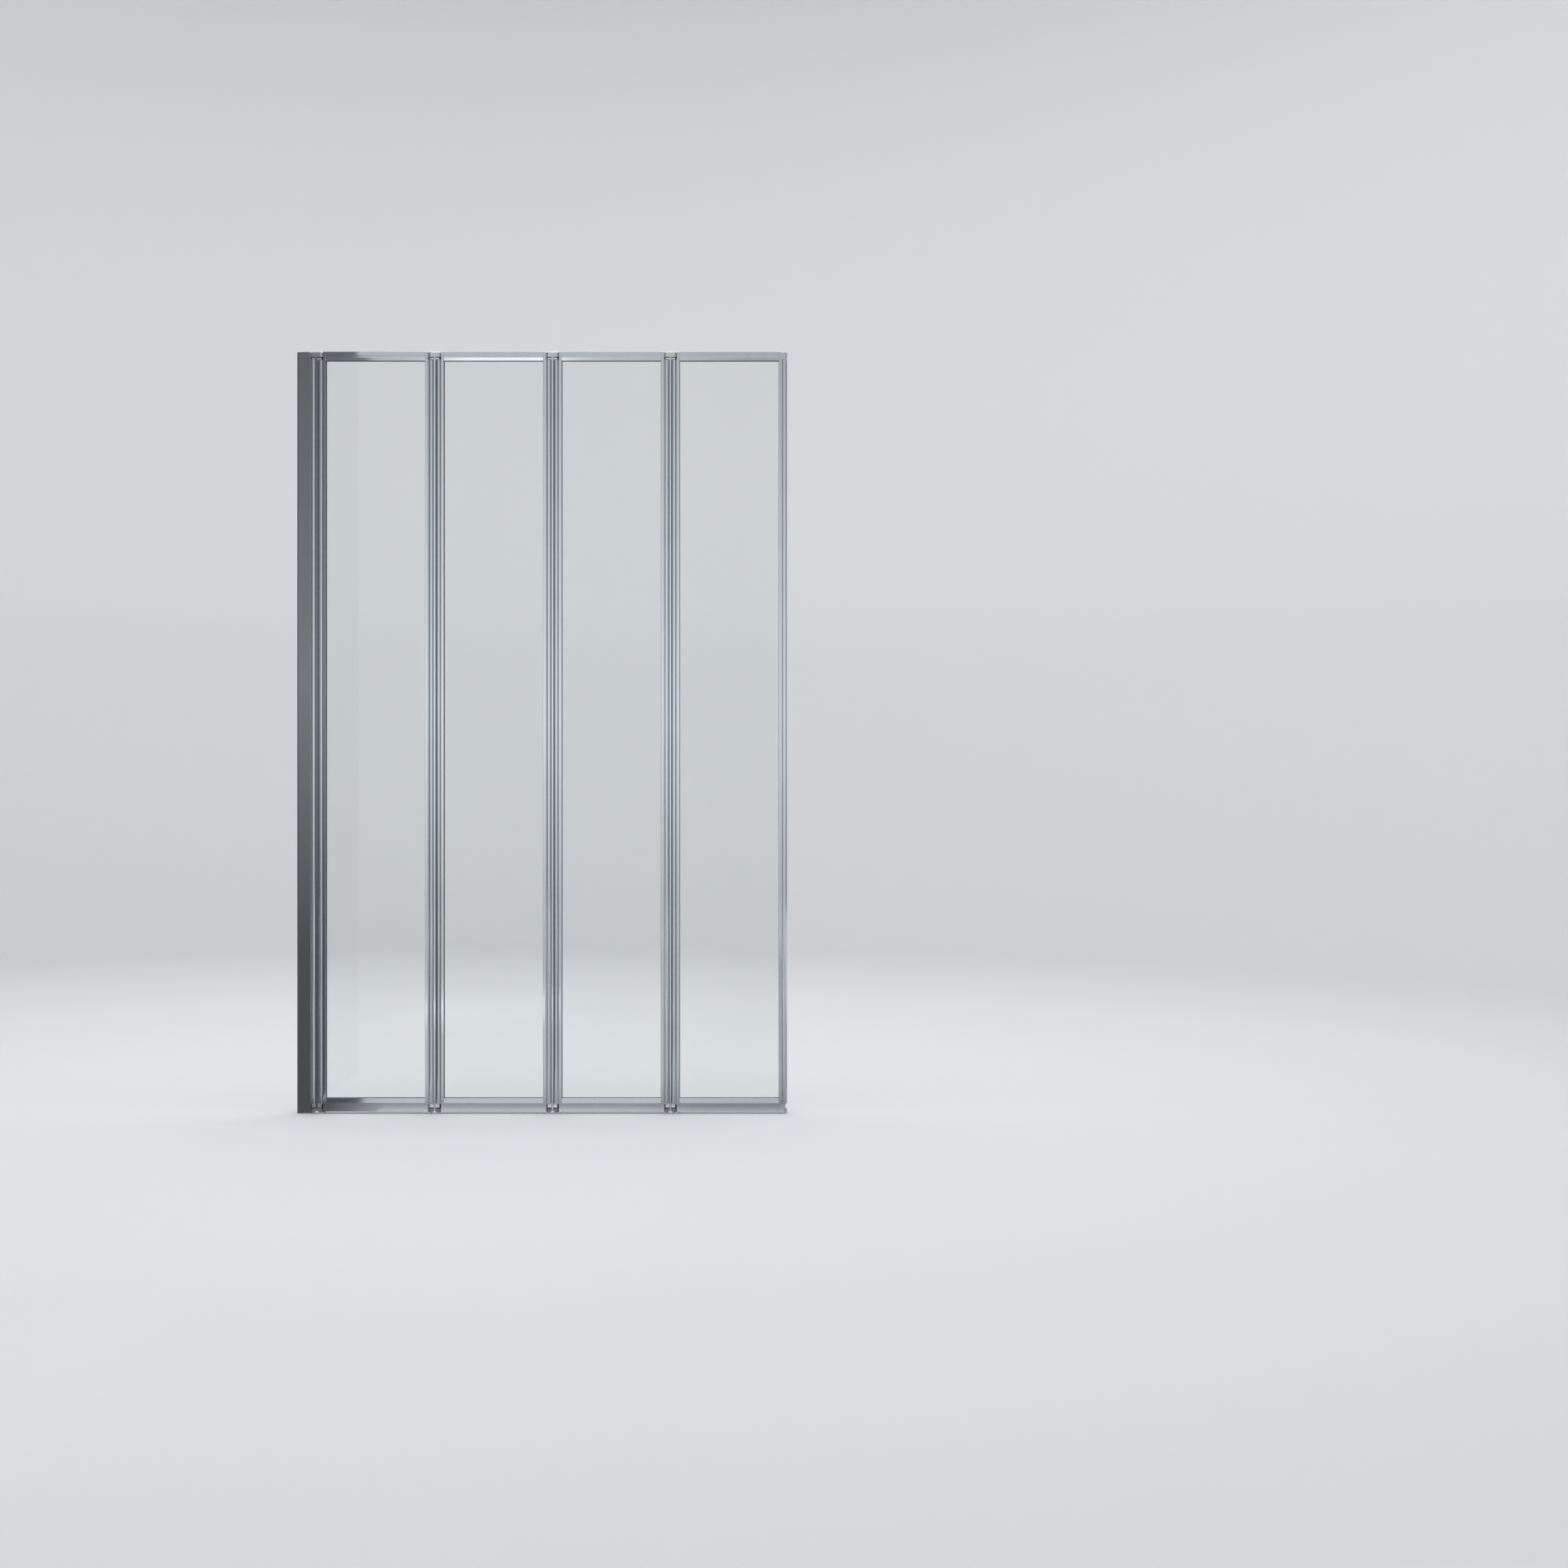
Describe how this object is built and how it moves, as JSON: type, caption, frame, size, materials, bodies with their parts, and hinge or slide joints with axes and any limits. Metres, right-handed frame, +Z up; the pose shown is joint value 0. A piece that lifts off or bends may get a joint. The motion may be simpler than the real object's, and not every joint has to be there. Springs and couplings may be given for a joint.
{
  "type": "folding bath screen",
  "caption": "Folding bath screen: framed clear glass leaves joined by twin-pivot hinges, hung from a wall channel, that stand in line or fold flat like a concertina.",
  "frame": {"origin": "on the wall face of the channel, midway through the screen's thickness, at the bath rim's height", "axes": "+X along the closed screen away from the wall, +Y towards the bath, +Z up"},
  "size_m": [0.9, 0.015, 1.4],
  "materials": {
    "polished_aluminium": "bright polished, anodised",
    "clear_glass": "clear toughened glass, polished edges",
    "grey_gasket": "matt extruded gasket",
    "pale_seal": "matt translucent grey seal",
    "silver_plastic": "silver moulded plastic",
    "grey_plastic": "dark grey moulded plastic",
    "white_bush": "natural white bearing plastic",
    "stainless_steel": "bright drawn steel"
  },
  "bodies": {
    "wall": {"wall_channel": "polished_aluminium", "wall_jamb": "polished_aluminium", "jamb_screws": "stainless_steel", "jamb_bushes": "white_bush", "channel_cap": "silver_plastic"},
    "hinge_1": {"hinge_1_strip": "polished_aluminium", "hinge_1_cap": "silver_plastic", "hinge_1_foot": "grey_plastic", "hinge_1_pins": "stainless_steel"},
    "leaf_1": {"leaf_1_glass": "clear_glass", "leaf_1_gasket": "grey_gasket", "leaf_1_left_stile": "polished_aluminium", "leaf_1_right_stile": "polished_aluminium", "leaf_1_top_rail": "polished_aluminium", "leaf_1_bottom_rail": "polished_aluminium", "leaf_1_bottom_seal": "pale_seal", "leaf_1_frame_screws": "stainless_steel", "leaf_1_hinge_bushes": "white_bush"},
    "hinge_2": {"hinge_2_strip": "polished_aluminium", "hinge_2_cap": "silver_plastic", "hinge_2_foot": "grey_plastic", "hinge_2_pins": "stainless_steel"},
    "leaf_2": {"leaf_2_glass": "clear_glass", "leaf_2_gasket": "grey_gasket", "leaf_2_left_stile": "polished_aluminium", "leaf_2_right_stile": "polished_aluminium", "leaf_2_top_rail": "polished_aluminium", "leaf_2_bottom_rail": "polished_aluminium", "leaf_2_bottom_seal": "pale_seal", "leaf_2_frame_screws": "stainless_steel", "leaf_2_hinge_bushes": "white_bush"},
    "hinge_3": {"hinge_3_strip": "polished_aluminium", "hinge_3_cap": "silver_plastic", "hinge_3_foot": "grey_plastic", "hinge_3_pins": "stainless_steel"},
    "leaf_3": {"leaf_3_glass": "clear_glass", "leaf_3_gasket": "grey_gasket", "leaf_3_left_stile": "polished_aluminium", "leaf_3_right_stile": "polished_aluminium", "leaf_3_top_rail": "polished_aluminium", "leaf_3_bottom_rail": "polished_aluminium", "leaf_3_bottom_seal": "pale_seal", "leaf_3_frame_screws": "stainless_steel", "leaf_3_hinge_bushes": "white_bush"},
    "hinge_4": {"hinge_4_strip": "polished_aluminium", "hinge_4_cap": "silver_plastic", "hinge_4_foot": "grey_plastic", "hinge_4_pins": "stainless_steel"},
    "leaf_4": {"leaf_4_glass": "clear_glass", "leaf_4_gasket": "grey_gasket", "leaf_4_left_stile": "polished_aluminium", "leaf_4_right_stile": "polished_aluminium", "leaf_4_top_rail": "polished_aluminium", "leaf_4_bottom_rail": "polished_aluminium", "leaf_4_bottom_seal": "pale_seal", "leaf_4_frame_screws": "stainless_steel", "leaf_4_hinge_bushes": "white_bush", "end_plug_top": "silver_plastic", "end_plug_bottom": "grey_plastic"}
  },
  "joints": [
    {"name": "hinge_1_turn", "type": "hinge", "parent": "wall", "child": "hinge_1", "pos_m": [0.028, 0, 0.7], "axis": [0, 0, 1], "range_deg": [-45, 45]},
    {"name": "leaf_1_turn", "type": "hinge", "parent": "hinge_1", "child": "leaf_1", "pos_m": [0.042, 0, 0.7], "axis": [0, 0, 1], "range_deg": [-45, 45]},
    {"name": "hinge_2_turn", "type": "hinge", "parent": "leaf_1", "child": "hinge_2", "pos_m": [0.24477, 0, 0.7], "axis": [0, 0, -1], "range_deg": [-90, 90]},
    {"name": "leaf_2_turn", "type": "hinge", "parent": "hinge_2", "child": "leaf_2", "pos_m": [0.25877, 0, 0.7], "axis": [0, 0, -1], "range_deg": [-90, 90]},
    {"name": "hinge_3_turn", "type": "hinge", "parent": "leaf_2", "child": "hinge_3", "pos_m": [0.46155, 0, 0.7], "axis": [0, 0, 1], "range_deg": [-90, 90]},
    {"name": "leaf_3_turn", "type": "hinge", "parent": "hinge_3", "child": "leaf_3", "pos_m": [0.47555, 0, 0.7], "axis": [0, 0, 1], "range_deg": [-90, 90]},
    {"name": "hinge_4_turn", "type": "hinge", "parent": "leaf_3", "child": "hinge_4", "pos_m": [0.67832, 0, 0.7], "axis": [0, 0, -1], "range_deg": [-90, 90]},
    {"name": "leaf_4_turn", "type": "hinge", "parent": "hinge_4", "child": "leaf_4", "pos_m": [0.69232, 0, 0.7], "axis": [0, 0, -1], "range_deg": [-90, 90]}
  ]
}
